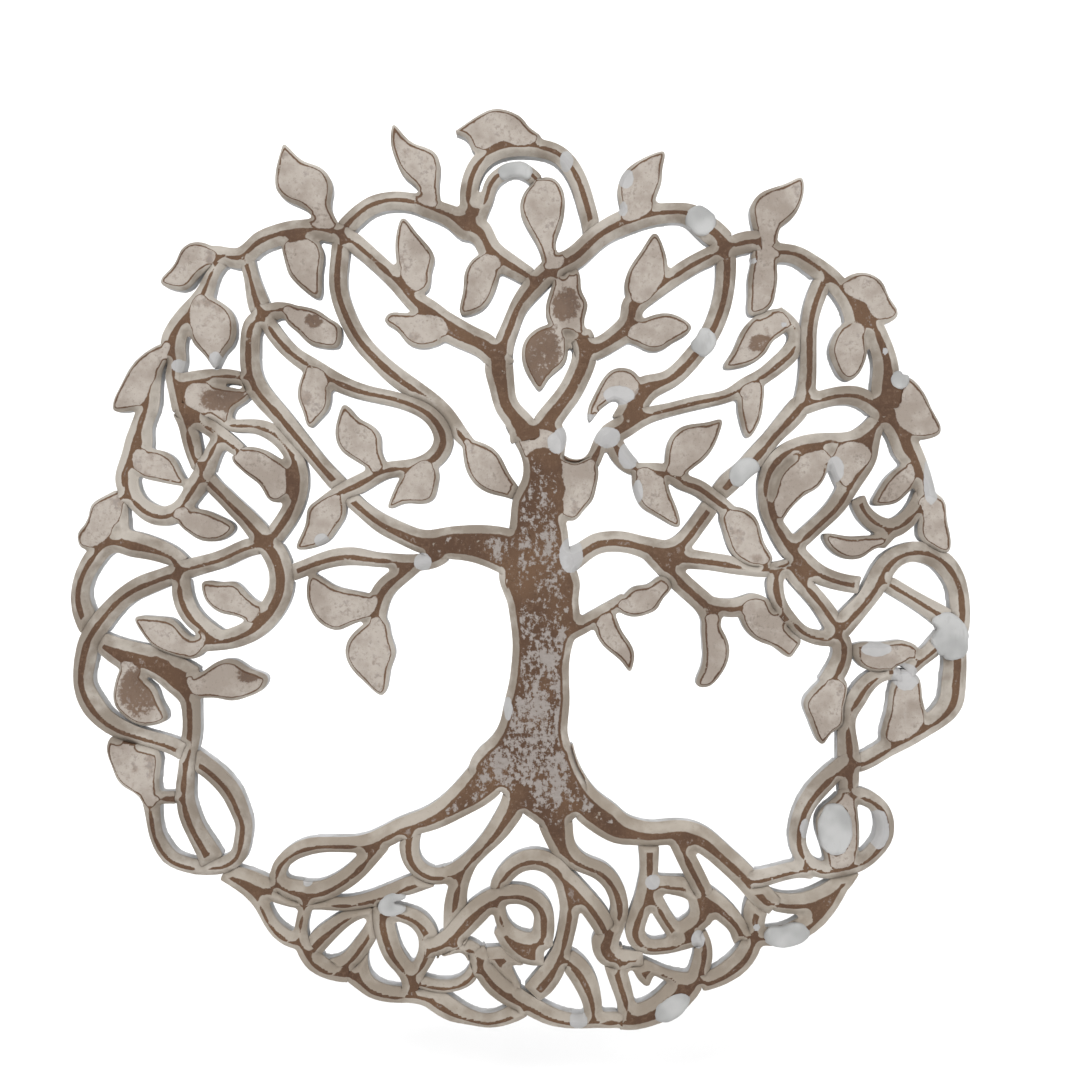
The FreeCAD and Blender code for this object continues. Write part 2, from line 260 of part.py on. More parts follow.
# ---- leaves and pads: closed outlines ----
LEAVES = {
    "leaf_01": [(-201, 212), (-208, 217), (-218, 218), (-226, 212), (-231, 202), (-239, 191), (-231, 187),
                (-222, 187), (-213, 196), (-203, 205)],
    "leaf_02": [(-213, 184), (-200, 179), (-192, 172), (-189, 161), (-191, 151), (-198, 142), (-203, 134),
                (-207, 139), (-213, 146), (-218, 152), (-220, 163), (-219, 174)],
    "leaf_03": [(-156, 177), (-142, 175), (-133, 172), (-126, 167), (-120, 163), (-119, 154), (-121, 149),
                (-131, 148), (-141, 151), (-148, 158), (-157, 168)],
    "leaf_04": [(-143, 134), (-147, 124), (-148, 115), (-144, 104), (-140, 95), (-134, 100), (-128, 107),
                (-126, 118), (-128, 129), (-135, 136)],
    "leaf_05": [(-70, 184), (-80, 197), (-83, 212), (-82, 225), (-78, 234), (-70, 226), (-62, 217),
                (-57, 208), (-59, 199), (-62, 186)],
    "leaf_06": [(-158, 282), (-161, 273), (-163, 263), (-162, 253), (-155, 246), (-144, 241), (-139, 236),
                (-137, 228), (-121, 227), (-126, 241), (-125, 252), (-127, 262), (-135, 269),
                (-148, 275)],
    "leaf_07": [(-85, 295), (-86, 284), (-83, 273), (-76, 261), (-68, 253), (-66, 243), (-55, 240),
                (-54, 255), (-53, 266), (-56, 277), (-65, 282), (-76, 288)],
    "leaf_08": [(-16, 210), (-30, 208), (-37, 197), (-38, 185), (-39, 170), (-30, 171), (-21, 178),
                (-16, 188), (-13, 200)],
    "leaf_09": [(-64, 74), (-78, 64), (-84, 53), (-87, 41), (-78, 44), (-66, 44), (-58, 47), (-55, 55),
                (-55, 68)],
    "leaf_10": [(-120, 51), (-134, 47), (-141, 41), (-143, 30), (-148, 14), (-137, 15), (-127, 20),
                (-121, 28), (-116, 38)],
    "leaf_11": [(-36, 88), (-26, 85), (-18, 81), (-12, 74), (-7, 64), (0, 54), (3, 46), (-8, 48),
                (-20, 51), (-30, 57), (-36, 67), (-38, 78)],
    "leaf_12": [(-43, 292), (-36, 297), (-27, 303), (-17, 307), (-6, 305), (2, 300), (8, 293), (14, 288),
                (8, 283), (-8, 284), (-22, 280), (-31, 279), (-38, 289)],
    "leaf_13": [(10, 259), (4, 253), (0, 243), (3, 231), (10, 219), (14, 209), (19, 198), (26, 199),
                (24, 214), (27, 228), (30, 243), (28, 254), (21, 261), (14, 261)],
    "leaf_14": [(24, 164), (12, 161), (4, 154), (1, 145), (3, 134), (8, 125), (13, 119.5), (18, 126),
                (24, 132), (30, 138), (32, 148), (30, 158)],
    "leaf_15": [(30, 158), (20, 163), (17, 173), (20, 186), (26, 199), (34, 204), (40, 196), (41, 186),
                (45, 177), (43, 167), (42, 156)],
    "leaf_16": [(72, 180), (70, 193), (74, 203), (81, 213), (86, 221), (89, 224), (95, 216), (98, 205),
                (97, 194), (88, 182), (81, 176)],
    "leaf_17": [(72, 160), (80, 166), (88, 169.5), (97, 171), (107, 168), (114, 161), (108, 155),
                (101, 151), (95, 147), (86, 146), (77, 150), (70, 154)],
    "leaf_18": [(68, 232), (66, 245), (65, 254), (68, 263), (75, 270), (86, 276), (96, 278), (95, 268),
                (94, 257), (91, 249), (84, 235)],
    "leaf_19": [(78, 130), (70, 134.5), (62, 133.5), (55, 127), (49, 116), (45, 104), (46, 98.5),
                (51, 104), (57, 110), (63, 113), (69, 111), (75, 114), (80, 122)],
    "leaf_20": [(158, 217), (154, 233), (154, 243), (159, 250), (170, 255), (181, 259), (187, 261),
                (189, 254), (187, 244), (181, 234), (173, 227), (168, 214)],
    "leaf_21": [(172, 174), (160, 171), (151, 164), (146, 156), (141, 145), (136, 135), (147, 135),
                (157, 139), (164, 145), (169, 153), (176, 158), (180, 166)],
    "leaf_22": [(147, 121), (145, 110), (147, 98), (152, 88), (157, 94), (161, 104), (162, 113),
                (160, 126)],
    "leaf_23": [(155, 217), (154, 204), (152, 194), (152, 182), (153, 170), (166, 174), (170, 184),
                (171.5, 195), (171, 205), (170, 214)],
    "leaf_24": [(224, 166), (214, 163), (208, 154), (206, 146), (209, 136), (213, 129), (218, 126),
                (225, 130), (229, 137), (231, 144), (230, 153), (228, 163)],
    "leaf_25": [(213, 191), (219, 196), (228, 198), (237, 195), (242, 190), (247, 179), (251.5, 170),
                (246, 165), (238, 166), (230, 174), (218, 184)],
    "leaf_26": [(243, 118), (249, 126), (256, 129), (264, 124), (271, 114), (276, 103), (280, 92),
                (268, 87), (262, 88), (250, 96), (246, 108)],
    "leaf_27": [(205, 80), (192, 79), (181, 73), (173, 65), (169, 54), (168, 42), (173, 32), (178, 38),
                (184, 45), (190, 50), (197, 54), (203, 62), (206, 72)],
    "right_web": [(205, 74), (210, 83), (225, 86), (234, 80), (224, 62), (214, 54), (207, 65)],
    "leaf_28": [(259, 72), (250, 67), (243, 60), (238, 52), (235, 44), (243, 43), (251, 45), (257, 50),
                (262, 56), (262, 66)],
    "leaf_29": [(241, 23), (230, 23), (215, 23), (202, 23), (204, 17), (211, 10), (220, 7), (229, 9),
                (236, 14), (243, 18)],
    "leaf_30": [(266, 48), (266, 36), (266, 22), (272, 16), (285, 12), (286, 24), (284, 36), (278, 50)],
    "leaf_32": [(221, -50), (230, -48), (243, -48), (256, -47), (265, -53), (259, -60), (250, -65),
                (240, -68), (230, -66), (222, -58)],
    "leaf_33": [(250, -68), (246, -82), (244, -95), (242, -114), (254, -114), (264, -108), (270, -98),
                (268, -86), (262, -68)],
    "leaf_34": [(214, -72), (202, -73), (194, -80), (189, -88), (192, -99), (196, -109), (201, -116),
                (206, -110), (214, -104), (216, -90)],
    "leaf_35": [(147, -22), (147, -33), (152, -42), (160, -48), (170, -52), (180, -58), (184, -53),
                (187, -48), (184, -40), (178, -32), (170, -25), (160, -18), (152, -18)],
    "leaf_36": [(122, -30), (121, -42), (122, -55), (120, -67), (118, -77), (124, -78), (131, -73),
                (137, -64), (139.5, -54), (137, -44), (133, -35), (131, -28)],
    "leaf_37": [(134, 38), (141, 42), (149, 41), (156, 36), (160, 28), (163, 17), (168, 6), (158, 2),
                (148, 5), (141, 11), (137, 20), (134, 30)],
    "leaf_38": [(97, 64), (97, 78), (100, 88), (107, 95), (117, 97.5), (127, 99), (134, 100), (133, 92),
                (129, 82), (122, 73), (113, 66), (105, 61)],
    "leaf_39": [(79, 69), (75, 62), (76, 52), (81, 42), (92, 35), (106, 29), (104, 42), (100, 52),
                (96, 62), (87, 66)],
    "leaf_40": [(22, 74), (26, 60), (26, 46), (30, 34), (36, 33), (42, 39), (48, 46), (51, 56), (52, 68),
                (48, 75), (36, 72)],
    "leaf_41": [(64, -24), (70, -16), (76, -11), (86, -9), (94, -4), (101, -11), (96, -18), (91, -26),
                (83, -30), (70, -30)],
    "leaf_42": [(52, -30), (50, -40), (55, -50), (63, -57), (69, -63), (73, -67.5), (75.5, -62),
                (76, -55), (73, -48), (67, -39), (60, -27)],
    "leaf_43": [(-94, -18), (-104, -15), (-114, -13), (-126, -9), (-139, -3), (-142, -12), (-141, -22),
                (-136, -32), (-129, -38), (-121, -40), (-111, -36), (-98, -30)],
    "leaf_44": [(-96, -30), (-109, -40), (-115, -48), (-116, -57), (-111, -67), (-102, -76), (-91, -83),
                (-88, -76), (-86, -65), (-83, -55), (-86, -44), (-90, -32)],
    "leaf_45": [(-98, 65), (-112, 74), (-120, 81), (-123, 92), (-121, 102), (-117, 110), (-108, 102),
                (-98, 96), (-93, 89), (-92, 78), (-90, 67)],
    "leaf_46": [(-55, 168), (-66, 171), (-78, 171), (-88, 170), (-90, 166), (-84, 161), (-76, 152),
                (-68, 148), (-58, 149), (-50, 153), (-46, 160)],
    "leaf_47": [(-234, 152), (-250, 144), (-259, 135), (-266, 122), (-270, 106), (-260, 106), (-251, 109),
                (-244, 120), (-238, 133)],
    "leaf_48": [(-256, 80), (-245, 80.5), (-237, 79), (-230, 74), (-226, 66), (-222, 57), (-232, 57),
                (-242, 59), (-252, 62), (-258, 70)],
    "leaf_49": [(-188, 81), (-178, 82), (-170, 80), (-163, 76), (-155, 70), (-154, 58), (-156, 48),
                (-163, 45), (-167, 47), (-172, 55), (-180, 62), (-187, 68), (-192, 76)],
    "leaf_50": [(-230, 40), (-220, 41), (-210, 40), (-200, 36), (-190, 28), (-195, 22), (-204, 19),
                (-213, 20), (-221, 25), (-228, 32)],
    "leaf_51": [(-209, -44), (-222, -42), (-231, -33), (-243, -31), (-256, -32), (-252, -41), (-246, -49),
                (-237, -55), (-226, -58), (-210, -54)],
    "leaf_52": [(-172, -22), (-183, -14), (-190, -8), (-200, -8), (-211, -8), (-211, -16), (-206, -24),
                (-198, -29), (-188, -31), (-174, -33)],
    "leaf_53": [(-264, 56), (-277, 49), (-285, 43), (-289, 31), (-294, 24), (-292, 15), (-280, 16),
                (-270, 24), (-264, 36), (-262, 50)],
    "leaf_54": [(-221, -72), (-209, -66), (-199, -60), (-189, -60), (-179, -66), (-168, -72), (-171, -79),
                (-180, -84), (-192, -87), (-204, -85), (-218, -82)],
    "leaf_55": [(-264, -60), (-270, -77), (-270, -89), (-264, -97), (-254, -103), (-242, -103),
                (-235, -99), (-239, -88), (-243, -78), (-250, -71), (-254, -64)],
    "leaf_56": [(-178, 120), (-195, 122), (-208, 124), (-223, 121), (-221, 108), (-208, 102), (-199, 95),
                (-195, 97), (-190, 107), (-182, 113)],
    "leaf_57": [(-273, -112), (-275, -119), (-272, -130), (-267, -141), (-261, -146), (-253, -151),
                (-248, -156), (-241, -158), (-240, -148), (-240, -135), (-240, -122), (-246, -115),
                (-256, -109), (-266, -107)],
    "leaf_58": [(214, -146), (205, -155), (199, -161), (197, -170), (199, -179), (202, -188),
                (206, -198), (218, -198), (224, -190), (226, -175), (225, -162), (222, -152)],
    "leaf_59": [(-157, 218), (-148, 220), (-136, 220), (-131, 212), (-132, 197), (-134, 181), (-146, 188),
                (-154, 197), (-157, 207)],
    "root_leaf": [(75, -262), (82, -262), (90, -266), (88, -272), (85, -277), (80, -274), (76, -268)],
    "root_pad": [(103, -240), (108, -233), (113, -229), (112, -214), (122, -214), (128, -221),
                 (128, -234),
                 (122, -240), (116, -248), (106, -250)],
}

PLAIN_LEAVES = ["root_leaf", "root_pad"]    # these have no washed face

# ---- trunk: closed outline ----
TRUNK = [(-10, 96), (-7, 90), (-1, 80), (2, 70), (1, 60), (-4, 50), (-6, 40), (-7, 30), (-10, 20),
         (-13, -10), (-9, -20), (-7, -30), (-5, -50), (-5.5, -60), (-8.5, -80), (-11, -90), (-13, -100),
         (-18, -110), (-28, -120), (-34, -134), (-24, -142), (-10, -150), (-2, -159), (9, -167),
         (18, -173), (30, -170), (44, -154), (44, -142), (38, -130), (35, -120), (32, -110), (32, -100),
         (33, -90), (33, -80), (33, -60), (35, -50), (40, -30), (39, -20), (40, -10), (34, 10), (31, 30),
         (28, 40), (27, 50), (27, 60), (29, 70), (30, 80), (31, 90), (28, 96), (9, 100)]
TRUNK_FACE = [(3, 84), (7, 72), (7, 60), (2, 50), (0, 40), (-1, 30), (-3, 20), (-5, 0), (-6, -12),
              (-2, -22),
              (0, -32), (2, -50), (1, -62), (-2, -82), (-5, -94), (-9, -106), (-16, -116), (-25, -128),
              (-20, -136), (-6, -138), (6, -146), (11, -150), (20, -152), (30, -152), (34, -142),
              (30, -130), (27, -118), (26, -100), (27, -80), (27, -60), (29, -50), (33, -30), (32, -18),
              (31, -8), (27, 10), (24, 30), (21, 42), (21, 60), (23, 72), (24, 84), (10, 90)]

# ---- pieces, frontmost first: name, strands, leaves ----
PIECES = [
    ("right_bough", ["right_bough"], ["leaf_16", "leaf_17"]),
    ("top_left_rail", ["top_left_rail"], ["leaf_01", "leaf_05", "leaf_06", "leaf_46", "leaf_59"]),
    ("crown_bough", ["crown_bough"], ["leaf_13", "leaf_18"]),
    ("right_lift", ["right_lift"], ["leaf_37", "leaf_38", "leaf_39"]),
    ("left_swing", ["left_swing"], ["leaf_04", "leaf_09", "leaf_10", "leaf_45"]),
    ("left_bough", ["left_bough"], ["leaf_03"]),

    ("upper_right_rail", ["upper_right_rail", "right_stay"], ["leaf_20", "leaf_23", "leaf_24", "leaf_25"]),
    ("right_rim", ["right_rim", "upper_right_drop"], ["leaf_26", "leaf_28", "leaf_30"]),
    ("right_hook", ["right_hook", "right_hook_stem"], ["leaf_29"]),
    ("right_hoop", ["right_hoop"], []),
    ("right_swag", ["right_swag", "right_swag_low"], ["leaf_27", "right_web"]),
    ("right_inner", ["right_inner_a", "right_inner_b"], ["leaf_34"]),
    ("right_cross", ["right_cross_a", "right_cross_b"], ["leaf_32"]),
    ("outer_left_loop", ["outer_left", "left_link"], ["leaf_47", "leaf_48", "leaf_50"]),
    ("left_wave", ["left_wave", "left_stub"], ["leaf_51", "leaf_52"]),
    ("left_rim", ["left_rim"], []),
    ("trunk", ["fork_right", "twig_middle"], ["leaf_14", "leaf_15", "leaf_40", "leaf_41", "leaf_42"]),
    ("left_ring", ["left_ring", "left_bar"], ["leaf_49", "leaf_56"]),
    ("left_rise", ["left_rise"], ["leaf_02"]),
    ("top_left_drop", ["top_left_drop"], []),
    ("left_diagonal", ["left_diagonal"], ["leaf_11"]),
    ("crown_curl", ["crown_rail", "crown_hoop", "crown_curl"], ["leaf_07", "leaf_08", "leaf_12"]),
    ("right_arm", ["right_arm", "right_arm_low", "right_branch_a", "right_branch_b"],
     ["leaf_35", "leaf_36"]),
    ("right_loop", ["right_loop", "right_tie_a", "right_tie_b"], ["leaf_21", "leaf_22"]),
    ("right_drop", ["right_drop"], ["leaf_19"]),
    ("low_left_bough", ["low_left_bough", "low_left_fork"], ["leaf_43", "leaf_44"]),
    ("left_hoop", ["left_hoop", "left_hoop_tie"], ["leaf_53"]),
    ("left_twigs", ["left_twig_a", "left_twig_b"], ["leaf_54", "leaf_55"]),
    ("lower_left_hoop", ["lower_left_hoop", "lower_left_bridge"], ["leaf_57"]),
    ("lower_right_hoop", ["lower_right_hoop", "root_swag_a"], ["leaf_58"]),
    ("right_post", ["right_post"], []),
    ("right_low_rim", ["right_low_rim"], ["leaf_33"]),
    ("root_arm_left", ["root_arm_left", "root_ring_left"], []),
    ("root_main_right", ["root_main_right", "root_drop_b"], []),
    ("root_spiral", ["root_spiral", "root_spiral_end", "root_spiral_low"], []),
    ("root_arch", ["root_arch", "root_bar"], []),
    ("root_tap", ["root_tap"], []),
    ("root_mid_left", ["root_mid_left", "root_spur"], []),
    ("root_sweep_left", ["root_sweep_left", "root_outer_left", "root_left_down"], []),
    ("root_long", ["root_long", "root_mid_ring"], []),
    ("root_ring_right", ["root_ring_top", "root_ring_bar", "root_drop_a"], ["root_pad"]),
    ("root_outer_right", ["root_outer_right", "root_swag_b", "root_swag_c"], []),
    ("root_low_right", ["root_low_right", "root_inner_right_a", "root_inner_right_b",
                        "root_inner_right_c"], ["root_leaf"]),
    ("root_left_eye", ["root_left_eye", "root_left_post"], []),
    ("root_middle", ["root_mid_a", "root_mid_b", "root_mid_c", "root_mid_d"], []),
    ("root_left_hook", ["root_left_hook", "root_left_diagonal"], []),
    ("root_low_left", ["root_low_left", "root_left_cup"], []),
]

# ---- mends: name, middle x, z, half width, half height, turn in degrees ----
DABS = [
    ("mend_crown", -3, 264, 11, 6.5, 0),
    ("mend_crown_bough", 120, 232, 10, 9, -35),
    ("mend_right_drop", 122, 151, 8, 9, 0),
    ("mend_right_arm", 149, 65, 11, 8, 40),
    ("mend_right_leaf", 252, 126, 6, 6, 0),
    ("mend_right_rim", 285, -44, 12, 16, 20),
    ("mend_hoop_leaf", 209, -172, 11, 17, 0),
    ("mend_root_left", -84, -222, 10, 7, 20),
    ("mend_root_right", 177, -242, 15, 7.5, 8),
    ("mend_root_low", 101, -290, 13, 7, 35),
]


def point(x, z, y=0.0):
    return Vector(x * K, y, z * K)


def spline(points):
    curve = Part.BSplineCurve()
    curve.interpolate(points)
    return curve.toShape()


def tangent(rows, i):
    a = rows[max(i - 1, 0)]
    b = rows[min(i + 1, len(rows) - 1)]
    dx = b[0] - a[0]
    dz = b[1] - a[1]
    size = math.hypot(dx, dz)
    return dx / size, dz / size


def side_points(rows, sign):
    found = []
    for i, (x, z, width) in enumerate(rows):
        tx, tz = tangent(rows, i)
        half = sign * width * STRAND_FULLNESS / 2
        found.append(point(x - tz * half, z + tx * half))
    return found


def strand_face(rows):
    left = side_points(rows, 1)
    right = side_points(rows, -1)
    right.reverse()
    edges = [
        spline(left),
        Part.makeLine(left[-1], right[0]),
        spline(right),
        Part.makeLine(right[-1], left[0]),
    ]
    return upright(Part.Face(Part.Wire(edges)))


def closed_face(points):
    curve = Part.BSplineCurve()
    curve.interpolate([point(x, z) for x, z in points], PeriodicFlag=True)
    return upright(Part.Face(Part.Wire([curve.toShape()])))


def upright(face):
    # every flat outline looks the same way, so all of them fuse cleanly
    if face.normalAt(0, 0).y > 0:
        face = face.reversed()
    return face


def middle_of(points):
    xs = [p[0] for p in points]
    zs = [p[1] for p in points]
    return sum(xs) / len(xs), sum(zs) / len(zs)


def drawn_in(points, inset):
    mx, mz = middle_of(points)
    found = []
    for x, z in points:
        far = math.hypot(x - mx, z - mz)
        keep = max(1 - inset / (K * far), 0.3)
        found.append((mx + (x - mx) * keep, mz + (z - mz) * keep))
    return found


def slab(face, y_back, y_front):
    # a flat outline given thickness between two depths, front being the more negative
    moved = face.copy()
    moved.translate(Vector(0, y_back, 0))
    return moved.extrude(Vector(0, y_front - y_back, 0))


def slab_whole(outline, y_back, y_front):
    # an outline that stayed in several faces is joined as solids
    blocks = [slab(face, y_back, y_front) for face in outline.Faces]
    if len(blocks) == 1:
        return blocks[0]
    return blocks[0].multiFuse(blocks[1:]).removeSplitter()


def piece_outline(name, strands, leaves):
    faces = [strand_face(STRANDS[s]) for s in strands]
    faces += [closed_face(LEAVES[leaf]) for leaf in leaves]
    if name == "trunk":
        faces.append(closed_face(TRUNK))
    if len(faces) == 1:
        return faces[0]
    whole = faces[0].multiFuse(faces[1:])
    return whole.removeSplitter()


def boxes_meet(a, b):
    return a.BoundBox.intersect(b.BoundBox)


def ellipse_face(x, z, half_w, half_h, turn):
    long_w = half_w >= half_h
    major = max(half_w, half_h + 0.01) if long_w else half_h
    minor = min(half_w - 0.01, half_h) if long_w else half_w
    ring = Part.Ellipse(Vector(0, 0, 0), major * K, minor * K).toShape()
    if not long_w:
        ring.rotate(Vector(0, 0, 0), Vector(0, 0, 1), 90)
    ring.rotate(Vector(0, 0, 0), Vector(0, 0, 1), turn)
    ring.rotate(Vector(0, 0, 0), Vector(1, 0, 0), 90)
    ring.translate(point(x, z))
    return upright(Part.Face(Part.Wire([ring])))


def box(x0, x1, y0, y1, z0, z1):
    return Part.makeBox(x1 - x0, y1 - y0, z1 - z0, Vector(x0, y0, z0))


def largest(shape, name):
    solids = sorted(shape.Solids, key=lambda s: -s.Volume)
    for loose in solids[1:]:
        print("loose", name, round(loose.Volume, 1), loose.CenterOfMass)
    return solids[0]


def outlines():
    return {name: piece_outline(name, strands, leaves) for name, strands, leaves in PIECES}


def lap_cuts(faces):
    cuts = {name: [] for name in faces}
    names = list(faces)
    parting = -BOARD_THICK * (1 - LAP_SHARE)
    for i, front in enumerate(names):
        for back in names[i + 1:]:
            if not boxes_meet(faces[front], faces[back]):
                continue
            shared = faces[front].common(faces[back])
            for face in shared.Faces:
                if face.Area < 0.02:
                    continue
                cuts[front].append(slab(face, 0, parting))
                cuts[back].append(slab(face, parting, -BOARD_THICK))
    return cuts


def face_cuts(name, leaves):
    cuts = []
    floor = -BOARD_THICK + LEAF_SINK
    for leaf in leaves:
        if leaf in PLAIN_LEAVES:
            continue
        inner = closed_face(drawn_in(LEAVES[leaf], LEAF_RIM))
        cuts.append(slab(inner, floor, -BOARD_THICK - 1))
    if name == "trunk":
        cuts.append(slab(closed_face(TRUNK_FACE), floor, -BOARD_THICK - 1))
    return cuts


def dab_parts(faces):
    # a mend fills the front of the board inside its outline, over every piece it covers
    dabs = {}
    cuts = {name: [] for name in faces}
    for name, x, z, half_w, half_h, turn in DABS:
        patch = ellipse_face(x, z, half_w, half_h, turn)
        covered = []
        for piece, face in faces.items():
            if boxes_meet(face, patch):
                shared = face.common(patch)
                covered += [f for f in shared.Faces if f.Area > 0.5]
        area = covered[0]
        if len(covered) > 1:
            area = covered[0].multiFuse(covered[1:]).removeSplitter()
        area = sorted(area.Faces, key=lambda f: -f.Area)[0]
        floor = -BOARD_THICK + DAB_DEPTH
        dabs[name] = slab(area, floor, -BOARD_THICK - DAB_PROUD)
        tool = slab(area, floor, -BOARD_THICK - DAB_PROUD)
        for piece, face in faces.items():
            if boxes_meet(face, area):
                cuts[piece].append(tool)
    return dabs, cuts


def hanger_sizes():
    z_low = HANGER_Z - PLATE_TALL / 2
    pin_x = PLATE_LONG / 2 - 1.7
    return z_low, pin_x


def hanger_plate():
    z_low, pin_x = hanger_sizes()
    half = PLATE_LONG / 2
    edge = [(-half, z_low), (-half, z_low + PLATE_TALL), (half, z_low + PLATE_TALL), (half, z_low)]
    teeth = 5
    room = NAIL_ROOM_WIDE / 2 - 0.5
    step = 2 * room / teeth
    for i in range(teeth):
        right = room - i * step
        edge.append((right, z_low))
        edge.append((right - step / 2, z_low + TOOTH))
    edge.append((-room, z_low))
    points = [Vector(HANGER_X * K + x, 0, HANGER_Z * K + z - HANGER_Z) for x, z in edge]
    face = Part.Face(Part.makePolygon(points + [points[0]]))
    plate = slab(face, 0, -PLATE_THICK)
    for side in (-1, 1):
        plate = plate.cut(pin(side))
    return plate


def pin(side):
    z_low, pin_x = hanger_sizes()
    at = Vector(HANGER_X * K + side * pin_x, 0, HANGER_Z * K)
    back = Vector(0, -1, 0)
    head = Part.makeCylinder(PIN_HEAD_R, PIN_HEAD, at, back)
    shank = Part.makeCylinder(PIN_R, PIN_LONG, at, back)
    return head.fuse(shank).removeSplitter()


def hanger_pocket():
    z_low, pin_x = hanger_sizes()
    cx = HANGER_X * K
    cz = HANGER_Z * K
    half = PLATE_LONG / 2
    seat = box(cx - half, cx + half, -PLATE_THICK, 0, cz - PLATE_TALL / 2, cz + PLATE_TALL / 2)
    top = cz + PLATE_TALL / 2 - 1.5
    half_room = NAIL_ROOM_WIDE / 2
    room = box(cx - half_room, cx + half_room, -NAIL_ROOM_DEEP, 0, top - NAIL_ROOM_TALL, top)
    return seat.fuse(room)


def save(shape, name):
    shape.exportStep("parts/" + name + ".step")


def main():
    os.makedirs("parts", exist_ok=True)
    faces = outlines()
    laps = lap_cuts(faces)
    dabs, dab_cuts = dab_parts(faces)
    for name, strands, leaves in PIECES:
        cuts = laps[name] + face_cuts(name, leaves) + dab_cuts[name]
        if name == "trunk":
            cuts += [hanger_pocket(), pin(-1), pin(1)]
        blank = slab_whole(faces[name], 0, -BOARD_THICK)
        shape = blank.cut(cuts) if cuts else blank
        solid = largest(shape, name)
        print(name, len(faces[name].Faces), round(solid.Volume), solid.isValid())
        save(solid, name)
    for name, shape in dabs.items():
        save(largest(shape, name), name)
    save(hanger_plate(), "hanger_plate")
    save(pin(-1), "hanger_pin_left")
    save(pin(1), "hanger_pin_right")


main()
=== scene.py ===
import math

import bmesh
import bpy
import numpy as np
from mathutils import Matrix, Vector, noise
from mathutils.bvhtree import BVHTree
from mathutils.kdtree import KDTree


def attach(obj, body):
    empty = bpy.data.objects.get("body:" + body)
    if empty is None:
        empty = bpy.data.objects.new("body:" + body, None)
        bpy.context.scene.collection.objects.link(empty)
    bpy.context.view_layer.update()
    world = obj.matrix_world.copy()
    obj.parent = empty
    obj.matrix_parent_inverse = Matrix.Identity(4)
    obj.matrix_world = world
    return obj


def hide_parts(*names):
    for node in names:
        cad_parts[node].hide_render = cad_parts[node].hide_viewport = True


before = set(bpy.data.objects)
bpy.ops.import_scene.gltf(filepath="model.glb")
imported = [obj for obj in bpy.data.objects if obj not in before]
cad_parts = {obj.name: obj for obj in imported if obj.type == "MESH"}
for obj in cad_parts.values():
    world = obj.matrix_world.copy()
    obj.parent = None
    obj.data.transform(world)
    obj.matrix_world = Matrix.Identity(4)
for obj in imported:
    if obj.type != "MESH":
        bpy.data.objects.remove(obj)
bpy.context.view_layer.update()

MM = 0.001

# ---- sizes of the carving, in millimetres ----
BOARD_THICK = 18.0
CARVED_FROM = 9.5        # the knife works above this height
BEVEL_WIDE = 4.7         # slope on each side of a wide strand
BEVEL_DROP = 5.4         # how far that slope falls at the edge
LEAF_BEVEL = 1.8         # slope round a leaf
STOP_WIDE = 3.4          # slope where a strand dives under another
STOP_DROP = 3.4
VOXEL = 1.15
DAB_VOXEL = 0.9
DAB_BACK = 12.2          # how deep a mend is shown
DAB_PROUD = 0.75         # how far it swells out of the front
DAB_SPREAD = 0.7         # how far its sides run past the break
DAB_SWELL = 0.25         # how far its front rises
DAB_WOBBLE = 0.7         # how uneven both are

FLUSH = 0.02             # slack when a point is taken to lie on the front
SUNK_LOW, SUNK_FACE, SUNK_HIGH = 17.0, 17.2, 17.6    # height of a sunk face, and its limits
LAP_SEAT = 10.5          # a face lower than this is the seat of a half-lap
LEVEL_FROM = 15.0        # a neighbour higher than this is level with the front
POINT_GAP = 0.6          # spacing of the points along an edge
PROBE_OUT = 0.35         # how far outside an edge its neighbour is looked for
FAR = 30.0               # stands for a distance that no longer matters
UPWARD_WIDER = 0.15      # an edge that faces up is cut wider by this share
HALF_WIDE_MOST = 14.0    # half a strand is never taken to be wider than this
WIDTH_REACH = 8.0        # how far round a point the width of its strand is gathered
LEAF_FADE = (2.0, 4.6)   # the cut of a leaf gives way to that of a strand between these distances
TREE_MIDDLE = (10, 30)   # across and up
RING_FADE = (150, 215)   # the ring's own cut comes in between these distances from the middle
RIDGE_LEAST = 1.7        # least half width of a ridge
RIDGE_SHARE = 0.37       # half width of a ridge, as a share of its strand's
RING_RIDGE_LESS = (0.3, 0.06)                        # how much the ring takes off the last two
SLOPE_LEAST = 0.8        # least width of a slope
SLOPE_FULL = 4.6         # a slope this wide falls by the whole drop
SLOPE_HOLLOW, STOP_HOLLOW = 1.25, 1.3                # above 1 the slope is hollow
LEAF_SINK = 0.5          # how far a leaf's face sinks inside its slope
SEAM_CLEAR = 2.2         # a seam this far from any edge is a joint between level pieces
SEAM_PUSH = 0.4          # how far such a seam is pressed into its neighbour
SIDE_TONE = (10.5, 12.0)                             # the tone of the sides ends between these heights

